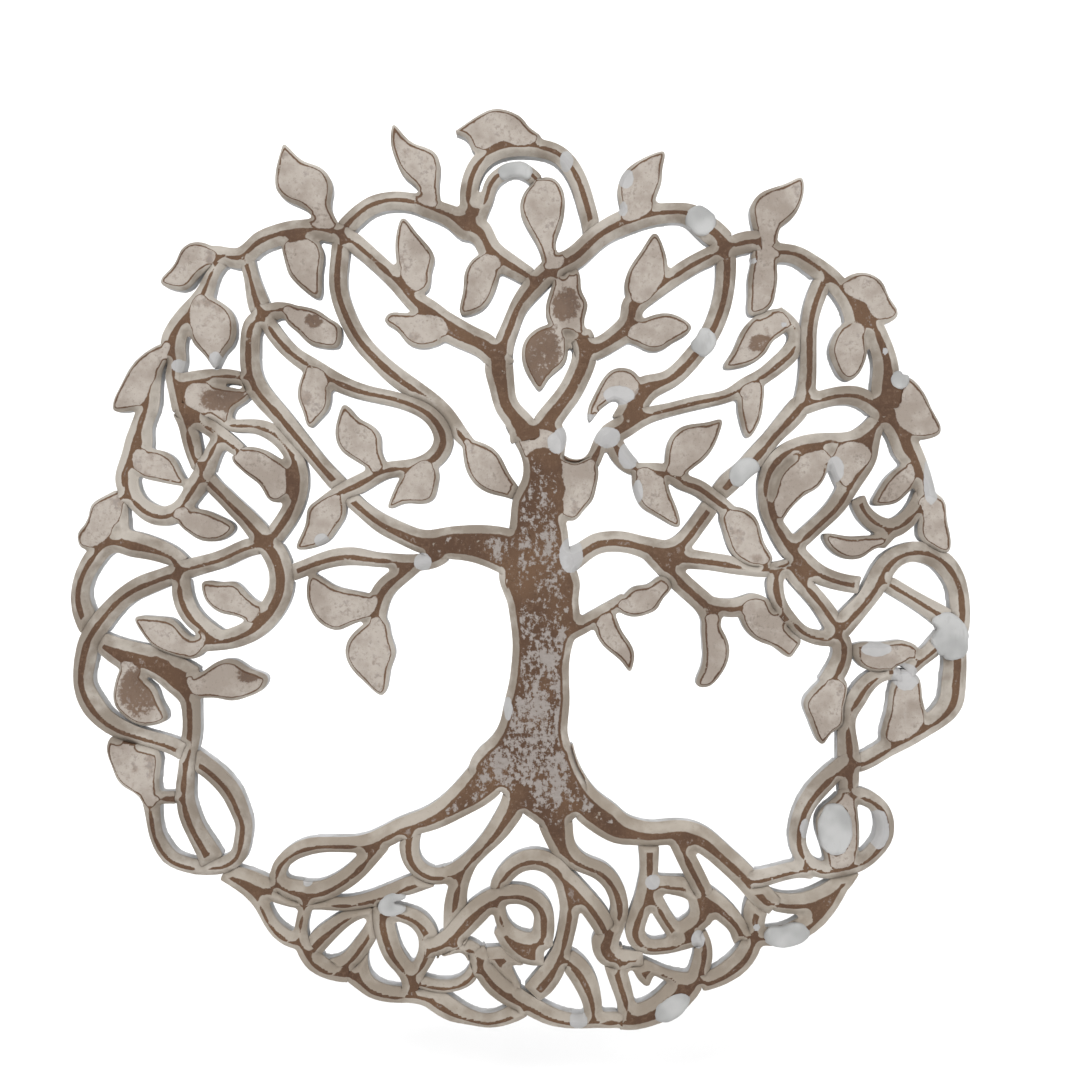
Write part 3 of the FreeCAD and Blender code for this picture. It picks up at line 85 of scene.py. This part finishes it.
# Where strands run into one another without a step: across, up, reach.
JUNCTIONS = [
    (-264, 50, 9), (-238, 146, 9), (-228, 108, 23), (-226, 126, 11), (-225, 0, 17), (-222, -152, 14),
    (-213, 66, 15), (-213, 68, 21), (-197, 206, 11), (-186, 79, 10), (-184, 210, 18), (-178, 124, 17),
    (-171, 170, 17), (-170, 168, 14), (-168, 16, 18), (-160, -208, 7), (-142, -219, 7),
    (-139, -254, 7), (-134, -262, 7), (-120, -267, 7), (-119, 223, 17), (-119, 225, 14),
    (-114, -269, 7), (-103, -246, 7), (-93, -220, 7), (-91, -226, 7), (-91, -220, 7), (-73, -280, 7),
    (-71, -172, 11), (-70, -273, 7), (-70, -272, 7), (-64, -251, 7), (-58, -252, 7), (-50, 12, 16),
    (-44, -248, 7), (-44, -201, 7), (-30, -266, 7), (-29, -252, 7), (-27, -266, 7), (-25, -257, 7),
    (-24, -257, 7), (-16, -214, 7), (-10, -124, 43), (-9, 134, 28), (-2, -280, 7), (2, -128, 42),
    (2, 7, 36), (3, 86, 27), (4, -290, 7), (12, 191, 17), (13, 256, 12), (14, -256, 7), (16, -256, 7),
    (18, 4, 32), (21, -140, 50), (22, -122, 60), (24, 77, 33), (30, -258, 7), (36, 144, 27),
    (57, -240, 7), (61, -251, 7), (64, -301, 7), (68, -300, 7), (68, -262, 7), (68, 98, 21),
    (71, -298, 7), (74, 67, 17), (80, 66, 16), (86, -176, 7), (118, -242, 7), (120, -275, 7),
    (120, -272, 7), (120, -244, 7), (123, -216, 7), (140, 214, 19), (148, -246, 7), (152, -206, 7),
    (153, -245, 7), (155, 214, 18), (160, 219, 21), (162, -218, 7), (170, -224, 7),
    (172, 2, 14), (174, -32, 7), (178, 4, 15), (180, 3, 22), (184, 108, 21), (188, 108, 19),
    (188, 111, 21), (204, 196, 16), (212, -45, 12), (213, -40, 15), (219, -130, 18), (238, -5, 18),
    (240, 100, 12), (240, 104, 14), (243, 108, 18), (253, -70, 11), (269, 54, 23), (271, 44, 27),
    (286, -36, 30), (288, -48, 26), (288, -38, 23), (292, -41, 26),
]

# Smears of filler too thin to be solids: across, up, half width, half height.
SMEARS = [
    (31, 271.5, 4.5, 7), (70.5, 260, 5, 7), (68.5, 239.5, 3, 5), (65.5, 116, 10, 6.5), (32, 90, 9, 6),
    (44, 97, 9, 7), (58, 88, 9, 7), (72, 76, 7, 9), (78, 52, 3.5, 8), (24, 84, 6, 7), (34, 10, 8, 12),
    (-64.5, 5.5, 6, 6), (-131.5, 19.5, 5, 5), (209, 67, 6, 9), (273, 59, 5.5, 16), (236, -52.5, 10, 5),
    (256, -71, 9, 9), (189, -171.5, 3.5, 7), (238, -172, 7, 13), (-202, 139, 4.5, 6),
    (-226, 135.5, 5.5, 4.5), (-8, -92, 3, 8), (175, 163, 2, 2), (155, 205, 2, 2), (242, 145, 2, 2),
    (-141, -207, 3.5, 3.5), (88, -207, 5, 5), (118, -245, 4.5, 6.5), (39, -299, 6, 6), (157, -237, 2.5, 2.5),
]

# Leaf faces that were rubbed down almost to bare brown: across, up, half width, half height.
BARE_LEAVES = [
    (14, 143, 13, 21), (-252, -81, 14, 17), (31, 176, 10, 12), (-197, 113, 17, 8), (160, 150, 9, 6),
    (-214, 70, 8, 6), (-180, -68, 9, 7), (-137, 165, 6, 5), (-206, -35, 8, 9), (-18, 262, 9, 6),
]

# Worn whitewash of the trunk: across, up, reach, strength.
TRUNK_WASH = [
    (15, 68, 11, 0.08), (13, 54, 12, 0.4), (11, 40, 13, 0.55), (11, 26, 15, 0.6), (-30, 17, 9, 0.35),
    (-8, 14, 14, 0.5), (-52, 17, 7, 0.2), (14, 6, 18, 0.55), (16, -12, 18, 0.38), (16, -28, 17, 0.48),
    (15, -44, 15, 0.62), (14, -62, 15, 0.74), (12, -82, 16, 0.7), (10, -100, 18, 0.82),
    (6, -116, 22, 0.85), (-10, -130, 16, 0.7), (16, -130, 18, 0.85), (-26, -142, 11, 0.55),
    (18, -148, 13, 0.7), (-44, -154, 9, 0.45), (22, -164, 9, 0.45), (40, -152, 10, 0.5),
    (58, -160, 8, 0.35), (-78, -164, 7, 0.4), (-104, -170, 6, 0.3),
]

BODY = "root"
SIDE, BACK = -1.0, -2.0  # what kind_of says of faces that don't look forward


def srgb(r, g, b):
    """A paint colour given in 0-255 steps, as the light the shader works with."""

    def one(v):
        v /= 255
        return v / 12.92 if v <= 0.04045 else ((v + 0.055) / 1.055) ** 2.4
    return one(r), one(g), one(b), 1.0


# ---------------------------------------------------------------- carving

def merged(node):
    """A copy of a sawn piece with its loose triangles joined."""
    bm = bmesh.new()
    bm.from_mesh(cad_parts[node].data)
    bmesh.ops.remove_doubles(bm, verts=bm.verts, dist=2e-6)
    bm.normal_update()
    return bm


def is_wall(face):
    """Whether a face of a sawn piece stands upright between its front and its back."""
    return abs(face.normal.y) < 0.5


def kind_of(face):
    """What a face of a sawn piece is: side, back, or the height in mm of a face that looks forward."""
    if is_wall(face):
        return SIDE
    if face.normal.y > 0:
        return BACK
    return -face.calc_center_median().y / MM


def tree_of(points):
    """A search tree over points across and up. With no points it holds one that is far away."""
    tree = KDTree(max(len(points), 1))
    for i, p in enumerate(points or [(99.0, 99.0, 0.0)]):
        tree.insert((p[0], 0.0, p[1]), i)
    tree.balance()
    return tree


def all_boards(boards):
    """One search tree over all the sawn pieces."""
    verts, polys = [], []
    for node in boards:
        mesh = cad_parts[node].data
        base = len(verts)
        verts += [v.co.copy() for v in mesh.vertices]
        polys += [[base + i for i in p.vertices] for p in mesh.polygons]
    return BVHTree.FromPolygons(verts, polys)


def runs_together(p):
    """Whether a point lies where two strands run into one another without a step."""
    return any(math.hypot(p.x / MM - x, p.z / MM - z) < reach for x, z, reach in JUNCTIONS)


def front_edges(bm, own, boards):
    """Points along the edge of the front: the free outline, where this piece lies over another, where it
    dives under one, and round the sunk face of a leaf. Each point is across, up and how far it faces up."""
    free, over, under, leaf = [], [], [], []
    down = Vector((0, 1, 0))
    for edge in bm.edges:
        a, b = edge.verts[0].co, edge.verts[1].co
        if max(a.y, b.y) > (FLUSH - BOARD_THICK) * MM or len(edge.link_faces) != 2:
            continue
        walls = [f for f in edge.link_faces if is_wall(f)]
        if len(walls) != 1:
            continue
        out = walls[0].normal
        steps = max(int((b - a).length / (POINT_GAP * MM)), 1)
        for i in range(steps + 1):
            p = a.lerp(b, i / steps)
            probe = p + out * PROBE_OUT * MM
            probe.y = -FAR * MM
            row = (p.x, p.z, out.z)
            hit = own.ray_cast(probe, down)[0]
            if hit is not None:
                depth = -hit.y / MM
                if depth < LAP_SEAT and not runs_together(p):
                    under.append(row)
                if SUNK_LOW < depth < SUNK_HIGH:
                    leaf.append(row)
                continue
            hit = boards.ray_cast(probe, down)[0]
            if hit is None or -hit.y / MM < LEVEL_FROM:
                free.append(row)
            elif not runs_together(p):
                over.append(row)
    return free, over, under, leaf


def remeshed(bm, name, voxel):
    """An even skin over a sawn piece, fine enough to carve."""
    mesh = bpy.data.meshes.new(name)
    bm.to_mesh(mesh)
    blank = bpy.data.objects.new(name, mesh)
    bpy.context.scene.collection.objects.link(blank)
    skin = blank.modifiers.new("skin", "REMESH")
    skin.mode = "VOXEL"
    skin.voxel_size = voxel * MM
    skin.use_smooth_shade = True
    graph = bpy.context.evaluated_depsgraph_get()
    even = bpy.data.meshes.new_from_object(blank.evaluated_get(graph))
    bpy.data.objects.remove(blank)
    bpy.data.meshes.remove(mesh)
    return even


def spread_width(mesh, edge_mm):
    """Half the width of the strand at each point: the deepest point within a few millimetres, evened out."""
    pairs = np.zeros(len(mesh.edges) * 2, np.int32)
    mesh.edges.foreach_get("vertices", pairs)
    a, b = pairs[0::2], pairs[1::2]
    wide = edge_mm.copy()
    for _ in range(max(int(WIDTH_REACH / VOXEL), 3)):
        before = wide.copy()
        np.maximum.at(wide, a, before[b])
        np.maximum.at(wide, b, before[a])
    for _ in range(5):
        total, seen = wide.copy(), np.ones(len(wide), np.float32)
        np.add.at(total, a, wide[b])
        np.add.at(total, b, wide[a])
        np.add.at(seen, a, 1)
        np.add.at(seen, b, 1)
        wide = total / seen
    return wide


def step(values, low, high):
    """0 up to low, 1 from high on, smooth in the middle."""
    t = np.clip((values - low) / (high - low), 0, 1)
    return t * t * (3 - 2 * t)


def spots(places, rows, soft):
    """How strongly each place lies inside the ellipses of a table."""
    best = np.zeros(len(places), np.float32)
    for x, z, wide, tall in rows:
        away = np.hypot((places[:, 0] - x) / wide, (places[:, 2] - z) / tall)
        best = np.maximum(best, 1 - step(away, 1 - soft, 1 + soft))
    return best


def trunk_wash(places):
    """How much of its whitewash the trunk has kept at each place."""
    best = np.zeros(len(places), np.float32)
    for x, z, reach, strength in TRUNK_WASH:
        away = np.hypot(places[:, 0] - x, places[:, 2] - z) / reach
        best = np.maximum(best, strength * (1 - step(away, 0.8, 1.5)))
    return best


def measured(mesh, kinds, free, found):
    """How far each point of a skin is, in mm, from an edge that is sloped, from where its piece dives under
    another and from the sunk face of a leaf, and whether it is on a sunk face or on a side."""
    _, sawn, over, under, leaf = found
    free_tree, free_rows = free
    over_tree, under_tree, leaf_tree = tree_of(over), tree_of(under), tree_of(leaf)
    edge, stop, from_leaf, sunk, side = (np.full(len(mesh.vertices), FAR, np.float32) for _ in range(5))
    for i, v in enumerate(mesh.vertices):
        kind = kinds[sawn.find_nearest(v.co)[2]]
        sunk[i] = SUNK_LOW < kind < SUNK_HIGH
        side[i] = kind == SIDE
        if v.co.y > -CARVED_FROM * MM:
            continue
        flat = (v.co.x, 0.0, v.co.z)
        _, which, away = free_tree.find(flat)
        facing = free_rows[which][2]
        _, which, other = over_tree.find(flat)
        if other < away:
            away, facing = other, over[which][2]
        edge[i] = min(away / MM, FAR) * (1 - UPWARD_WIDER * facing)
        stop[i] = min(under_tree.find(flat)[2] / MM, FAR)
        from_leaf[i] = 0.0 if sunk[i] else leaf_tree.find(flat)[2] / MM
    return edge, stop, from_leaf, sunk, side


def slope_of(places, wide, leafy):
    """How wide the slope along the nearest edge is, at each place."""
    x, z = TREE_MIDDLE
    ring = step(np.hypot(places[:, 0] - x, places[:, 2] - z), *RING_FADE)
    least_less, share_less = RING_RIDGE_LESS
    ridge = np.maximum(RIDGE_LEAST - least_less * ring, (RIDGE_SHARE - share_less * ring) * wide)
    strand = np.minimum(wide - ridge, BEVEL_WIDE + ring)
    return np.maximum(strand * (1 - leafy) + LEAF_BEVEL * leafy, SLOPE_LEAST)


def carve(node, free, found):
    """Cuts the slopes of a sawn piece and notes, at each point, what the painter needs to know."""
    bm, sawn = found[:2]
    kinds = [kind_of(f) for f in bm.faces]
    mesh = remeshed(bm, node + "_carved", VOXEL)
    bm.free()
    edge, stop, from_leaf, sunk, side = measured(mesh, kinds, free, found)
    places = np.zeros(len(mesh.vertices) * 3, np.float32)
    mesh.vertices.foreach_get("co", places)
    places = places.reshape(-1, 3) / MM
    height = -places[:, 1]
    top = height > CARVED_FROM
    wide = spread_width(mesh, np.where(top, np.minimum(edge, HALF_WIDE_MOST), 0).astype(np.float32))
    chalk = trunk_wash(places)
    leafy = (1 - step(from_leaf, *LEAF_FADE)) * (1 - step(chalk, 0.01, 0.06))
    slope_wide = slope_of(places, wide, leafy)
    drop = BEVEL_DROP * np.minimum(slope_wide / SLOPE_FULL, 1.0)
    carved = BOARD_THICK - drop * np.clip(1 - edge / slope_wide, 0, 1) ** SLOPE_HOLLOW
    ramp = BOARD_THICK - STOP_DROP * np.clip(1 - stop / STOP_WIDE, 0, 1) ** STOP_HOLLOW
    sink = LEAF_SINK * leafy * step(edge, LEAF_BEVEL + 0.6, LEAF_BEVEL + 2.2)
    carved = np.minimum(carved, ramp) - sink
    ceiling = np.where(sunk > 0.5, SUNK_FACE, BOARD_THICK)
    share = np.clip((height - CARVED_FROM) / (ceiling - CARVED_FROM), 0, 1)
    joined = (side > 0.5) & (edge > SEAM_CLEAR) & (stop > SEAM_CLEAR) & (height > LEVEL_FROM) & (sunk < 0.5)
    share[joined] = 1.0
    places[:, 1] = np.where(top, -(CARVED_FROM + share * (carved - CARVED_FROM)), places[:, 1])
    mesh.vertices.foreach_set("co", (places * MM).ravel())
    for i in np.nonzero(joined)[0]:
        v = mesh.vertices[int(i)]
        out = sawn.find_nearest(v.co)[1]
        v.co += Vector((out.x, 0, out.z)) * SEAM_PUSH * MM
    notes = {
        "ridge_mm": np.minimum(edge - slope_wide, stop - STOP_WIDE),
        "leafy": leafy,
        "side": 1 - step(height, *SIDE_TONE),
        "smear": spots(places, SMEARS, 0.18),
        "bare": spots(places, BARE_LEAVES, 0.35),
        "trunk_wash": chalk,
    }
    for name, values in notes.items():
        mesh.attributes.new(name, "FLOAT", "POINT").data.foreach_set("value", values.astype(np.float32))
    softened(mesh, 2, 0.4)
    return placed(mesh, node + "_carved", node)


def softened(mesh, times, factor):
    """Takes the sharpness off a carved skin."""
    bm = bmesh.new()
    bm.from_mesh(mesh)
    for _ in range(times):
        bmesh.ops.smooth_vert(bm, verts=bm.verts, factor=factor, use_axis_x=True, use_axis_y=True,
                              use_axis_z=True)
    bm.to_mesh(mesh)
    bm.free()


def placed(mesh, name, node):
    """Puts a shaped mesh where the sawn piece stood."""
    piece = bpy.data.objects.new(name, mesh)
    mesh.name = name
    bpy.context.scene.collection.objects.link(piece)
    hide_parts(node)
    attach(piece, BODY)
    return piece


def dab(node):
    """A mend: a dab of paste pressed into a break and smeared a little past it."""
    bm = merged(node)
    mesh = remeshed(bm, node + "_dab", DAB_VOXEL)
    bm.free()
    softened(mesh, 7, 0.5)
    bm = bmesh.new()
    bm.from_mesh(mesh)
    bm.normal_update()
    for v in bm.verts:
        out = v.normal.copy()
        wobble = noise.noise(v.co * 140) * DAB_WOBBLE
        reach = DAB_SPREAD + wobble if out.y > -0.5 else DAB_SWELL + wobble * 0.4
        v.co += out * reach * MM
        if v.co.y > -DAB_BACK * MM:
            v.co.y = -DAB_BACK * MM
        over = -v.co.y / MM - BOARD_THICK
        if over > 0:
            v.co.y = -(BOARD_THICK + DAB_PROUD * math.tanh(over / DAB_PROUD)) * MM
    bm.to_mesh(mesh)
    bm.free()
    return placed(mesh, node + "_dab", node)


# ---------------------------------------------------------------- finishes

class Wire:
    """A shader value that Python's own signs work on."""

    def __init__(self, finish, socket):
        self.finish = finish
        self.socket = socket

    def sum(self, kind, *values):
        return self.finish.node("ShaderNodeMath", {"operation": kind}, {i: v for i, v in enumerate(values)})

    def __add__(self, other):
        return self.sum("ADD", self, other)

    def __radd__(self, other):
        return self.sum("ADD", other, self)

    def __sub__(self, other):
        return self.sum("SUBTRACT", self, other)

    def __rsub__(self, other):
        return self.sum("SUBTRACT", other, self)

    def __mul__(self, other):
        return self.sum("MULTIPLY", self, other)

    def __rmul__(self, other):
        return self.sum("MULTIPLY", other, self)


class Finish:
    """One procedural material and the nodes it is made of."""

    def __init__(self, name):
        self.material = bpy.data.materials.new(name)
        self.material.use_nodes = True
        self.tree = self.material.node_tree
        self.tree.nodes.clear()
        self.place = self.node("ShaderNodeTexCoord", {}, {}, "Object")

    def node(self, kind, settings, inputs, out=0):
        """A new shader node with its settings made and its inputs wired or set."""
        made = self.tree.nodes.new(kind)
        for key, value in settings.items():
            setattr(made, key, value)
        for key, value in inputs.items():
            if isinstance(value, Wire):
                self.tree.links.new(value.socket, made.inputs[key])
            else:
                made.inputs[key].default_value = value
        return Wire(self, made.outputs[out])

    def noise(self, scale, detail=3.0, rough=0.55, stretch=None, warp=0.0):
        where = self.place
        if stretch:
            where = self.node("ShaderNodeMapping", {}, {"Vector": where, "Scale": stretch})
        return self.node("ShaderNodeTexNoise", {}, {"Vector": where, "Scale": scale, "Detail": detail,
                                                   "Roughness": rough, "Distortion": warp}, "Fac")

    def between(self, value, low, high):
        """0 below low, 1 above high, smooth in the middle."""
        return self.node("ShaderNodeMapRange", {"interpolation_type": "SMOOTHSTEP"},
                         {"Value": value, "From Min": low, "From Max": high})

    def mark(self, name):
        """What carve noted on the skin under this name."""
        return self.node("ShaderNodeAttribute", {"attribute_name": name}, {}, "Fac")

    def mix(self, share, first, second):
        return self.node("ShaderNodeMix", {"data_type": "RGBA"}, {0: share, 6: first, 7: second}, 2)

    def finish(self, colour, rough, height, lift, base=0.5):
        bump = self.node("ShaderNodeBump", {}, {"Height": height, "Distance": lift * MM, "Strength": 1.0})
        shader = self.node("ShaderNodeBsdfPrincipled", {}, {"Base Color": colour, "Roughness": rough,
                                                           "Specular IOR Level": base, "Normal": bump})
        end = self.tree.nodes.new("ShaderNodeOutputMaterial")
        self.tree.links.new(shader.socket, end.inputs["Surface"])
        return self.material


def rubbed_board(name, warm):
    """Whitewashed board whose ridges are rubbed back to bare brown."""
    f = Finish(name)
    ridge_mm, leafy, side = f.mark("ridge_mm"), f.mark("leafy"), f.mark("side")
    smear, trunk = f.mark("smear"), f.mark("trunk_wash")
    broad = f.noise(22, 2)
    patch = f.noise(95, 3)
    grain = f.noise(420, 3, 0.6)
    speck = f.noise(1150, 2, 0.65)
    fibre = f.noise(240, 4, 0.7, (1.0, 1.0, 0.16), 0.4)

    brown = f.mix(f.between(broad, 0.35, 0.65), srgb(80, 56, 39), srgb(100, 74, 53))
    brown = f.mix(f.between(grain, 0.45, 0.72) * 0.45, brown, srgb(116, 92, 73))
    brown = f.mix(f.between(speck, 0.6, 0.72) * 0.5, brown, srgb(50, 37, 28))

    cloudy = f.between(broad + (patch - 0.5) * 0.5, 0.36, 0.66)
    slope = f.mix(cloudy, srgb(140, 130, 119), srgb(186, 179, 170))
    slope = f.mix(f.between(grain, 0.58, 0.8) * 0.4, slope, srgb(108, 96, 84))
    slope = f.mix(f.between(fibre, 0.62, 0.8) * 0.35, slope, srgb(202, 198, 193))
    slope = f.mix(warm, slope, srgb(158, 146, 131))
    sides = f.mix(f.between(patch, 0.3, 0.7), srgb(156, 155, 153), srgb(184, 184, 186))
    pale = f.mix(side, slope, sides)

    thin = f.between(broad + (patch - 0.5) * 0.7, 0.3, 0.68)
    washed = f.mix(thin, srgb(150, 139, 129), srgb(178, 169, 160))
    washed = f.mix(f.between(grain + (patch - 0.5) * 0.6, 0.52, 0.8) * 0.45, washed, srgb(90, 75, 63))
    washed = f.mix(f.between(speck, 0.6, 0.76) * 0.45, washed, srgb(94, 80, 69))
    washed = f.mix(f.between(fibre, 0.6, 0.78) * 0.3, washed, srgb(176, 170, 164))

    wander = (patch - 0.5) * 1.4 + (grain - 0.5) * 0.9
    ridge = f.between(ridge_mm + wander, -0.35, 0.25) * (1 - side)
    ridge = ridge * f.between(patch + (grain - 0.5) * 0.5, 0.22, 0.3)
    leaf = f.between(leafy + (patch - 0.5) * 0.8 + (grain - 0.5) * 0.9, 0.4, 0.75)
    leaf = leaf * f.between(ridge_mm + (patch - 0.5) * 2.4 + (grain - 0.5) * 1.2, 0.7, 1.4)
    stain = f.between(broad + (patch - 0.5) * 0.7, 0.62, 0.78)
    rubbed = f.between(f.mark("bare") + (grain - 0.5) * 1.6 + (patch - 0.5) * 1.2, 0.35, 0.85)
    leaf = leaf * (1 - stain * 0.45) * (1 - rubbed * 0.85)
    leaf_brown = f.between(leafy, 0.4, 0.6) * rubbed * f.between(ridge_mm, 0.0, 0.6)
    streak = f.noise(260, 4, 0.65, (1.0, 1.0, 0.4))
    cloud = 0.5 + (patch - 0.5) * 0.8 + (streak - 0.5) * 1.2 + (grain - 0.5) * 1.3
    chalk = f.between(cloud + trunk * 0.5, 0.74, 0.98) * f.between(trunk, 0.02, 0.12)
    dusting = f.between(cloud + (broad - 0.5) * 0.9, 0.74 - warm * 0.2, 1.0 - warm * 0.2)
    chalk = chalk + dusting * (1 - chalk) * 0.55
    chalk = chalk * f.between(ridge_mm + wander, 1.2, 2.2)

    colour = f.mix(ridge, pale, brown)
    colour = f.mix(leaf_brown * (1 - side), colour, brown)
    colour = f.mix(leaf * (1 - side), colour, washed)
    colour = f.mix(chalk * (1 - side), colour, f.mix(grain, srgb(128, 119, 113), srgb(160, 153, 148)))
    paste_tone = f.mix(patch, srgb(166, 166, 166), srgb(190, 190, 191))
    smear = f.between(smear + (patch - 0.5) * 1.1 + (grain - 0.5) * 0.6, 0.42, 0.7)
    colour = f.mix(smear * 0.85, colour, paste_tone)
    rough = 0.8 + (grain - 0.5) * 0.2 - ridge * 0.14
    height = (grain * 0.6 + speck * 0.35 + fibre * 0.5) * (1 - smear * 0.7)
    return f.finish(colour, rough, height, 0.35, 0.35)


def paste():
    """Smooth pale filler, drawn out with a finger."""
    f = Finish("filler_paste")
    broad = f.noise(45, 2)
    streak = f.noise(120, 3, 0.6, (1.0, 1.0, 0.35), 0.3)
    pit = f.noise(900, 2)
    colour = f.mix(f.between(broad, 0.35, 0.65), srgb(158, 158, 157), srgb(182, 182, 181))
    colour = f.mix(f.between(streak, 0.56, 0.78) * 0.45, colour, srgb(142, 140, 138))
    colour = f.mix(f.between(pit, 0.66, 0.76) * 0.4, colour, srgb(140, 136, 130))
    return f.finish(colour, 0.62 + (broad - 0.5) * 0.2, streak * 0.8 + pit * 0.2, 0.3, 0.4)


def plated_sheet():
    """Plated steel of the hanger, lightly brushed and dulled."""
    f = Finish("plated_sheet")
    brushed = f.noise(900, 2, 0.5, (0.06, 1.0, 1.0))
    dull = f.noise(160, 3)
    colour = f.mix(f.between(dull, 0.35, 0.7), srgb(176, 176, 172), srgb(140, 138, 132))
    made = f.finish(colour, 0.34 + (dull - 0.5) * 0.3, brushed, 0.05)
    shader = [n for n in f.tree.nodes if n.type == "BSDF_PRINCIPLED"][0]
    shader.inputs["Metallic"].default_value = 1.0
    return made


# ---------------------------------------------------------------- stage

def backdrop():
    """A pale floor under the plaque that sweeps up behind it."""
    bm = bmesh.new()
    profile = [bm.verts.new((-4.0, y, z)) for y, z in
               [(-4.0, -0.36), (1.6, -0.36), (2.4, -0.28), (2.9, 0.1), (3.0, 0.7), (3.0, 4.0)]]
    edges = [bm.edges.new(pair) for pair in zip(profile, profile[1:])]
    swept = bmesh.ops.extrude_edge_only(bm, edges=edges)
    far = [v for v in swept["geom"] if isinstance(v, bmesh.types.BMVert)]
    bmesh.ops.translate(bm, verts=far, vec=(8.0, 0, 0))
    bmesh.ops.recalc_face_normals(bm, faces=bm.faces)
    mesh = bpy.data.meshes.new("pale_floor")
    bm.to_mesh(mesh)
    bm.free()
    floor = bpy.data.objects.new("pale_floor", mesh)
    bpy.context.scene.collection.objects.link(floor)
    soft = floor.modifiers.new("sweep", "SUBSURF")
    soft.levels = soft.render_levels = 3
    paint = bpy.data.materials.new("pale_floor_paint")
    paint.use_nodes = True
    shader = paint.node_tree.nodes["Principled BSDF"]
    shader.inputs["Base Color"].default_value = (0.93, 0.93, 0.93, 1)
    shader.inputs["Roughness"].default_value = 0.9
    mesh.materials.append(paint)


def lamp(name, place, aim, size, power):
    """A round soft light that looks at a point."""
    light = bpy.data.lights.new(name, "AREA")
    light.shape = "DISK"
    light.size = size
    light.energy = power
    stand = bpy.data.objects.new(name, light)
    stand.location = place
    stand.rotation_euler = (Vector(aim) - Vector(place)).to_track_quat("-Z", "Y").to_euler()
    bpy.context.scene.collection.objects.link(stand)


def studio():
    backdrop()
    lamp("soft_key", (-0.9, -1.9, 1.5), (0, 0, 0), 1.3, 26)
    lamp("soft_fill", (1.5, -1.7, 0.4), (0, 0, 0), 1.6, 12)
    lamp("back_wash", (0, 1.2, 2.4), (0, 3.0, 0.3), 2.0, 60)
    world = bpy.data.worlds.new("room_light")
    world.use_nodes = True
    sky = world.node_tree.nodes["Background"]
    sky.inputs["Color"].default_value = (1.0, 1.0, 1.0, 1)
    sky.inputs["Strength"].default_value = 0.62
    bpy.context.scene.world = world
    bpy.context.scene.view_settings.view_transform = "Standard"


def camera():
    lens = bpy.data.cameras.new("camera")
    lens.lens = 50.3
    lens.sensor_width = 36.0
    eye = bpy.data.objects.new("camera", lens)
    eye.location = (0.0133, -1.018, 0.020)
    eye.rotation_euler = (math.pi / 2, 0, 0)
    bpy.context.scene.collection.objects.link(eye)
    bpy.context.scene.camera = eye


# ---------------------------------------------------------------- the plaque

def plaque():
    """Carves and paints every piece. The hanger keeps the shapes it comes with."""
    paints = {
        "root": rubbed_board("whitewashed_root", 0.45),
        "bough": rubbed_board("whitewashed_bough", 0.12),
    }
    filler = paste()
    steel = plated_sheet()
    nodes = sorted(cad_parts)
    boards = [n for n in nodes if not n.startswith(("hanger", "mend"))]
    everything = all_boards(boards)
    found, free_rows = {}, []
    for node in boards:
        bm = merged(node)
        bm.faces.ensure_lookup_table()
        own = BVHTree.FromBMesh(bm)
        free, over, under, leaf = front_edges(bm, own, everything)
        free_rows += free
        found[node] = (bm, own, over, under, leaf)
    free = (tree_of(free_rows), free_rows)
    for node in nodes:
        if node.startswith("hanger"):
            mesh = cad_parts[node].data
            mesh.materials.clear()
            mesh.materials.append(steel)
            continue
        if node.startswith("mend"):
            piece = dab(node)
            piece.data.materials.append(filler)
            continue
        piece = carve(node, free, found[node])
        piece.data.materials.clear()
        piece.data.materials.append(paints["root" if node.startswith("root") else "bough"])


camera()
studio()
plaque()

bpy.context.view_layer.update()
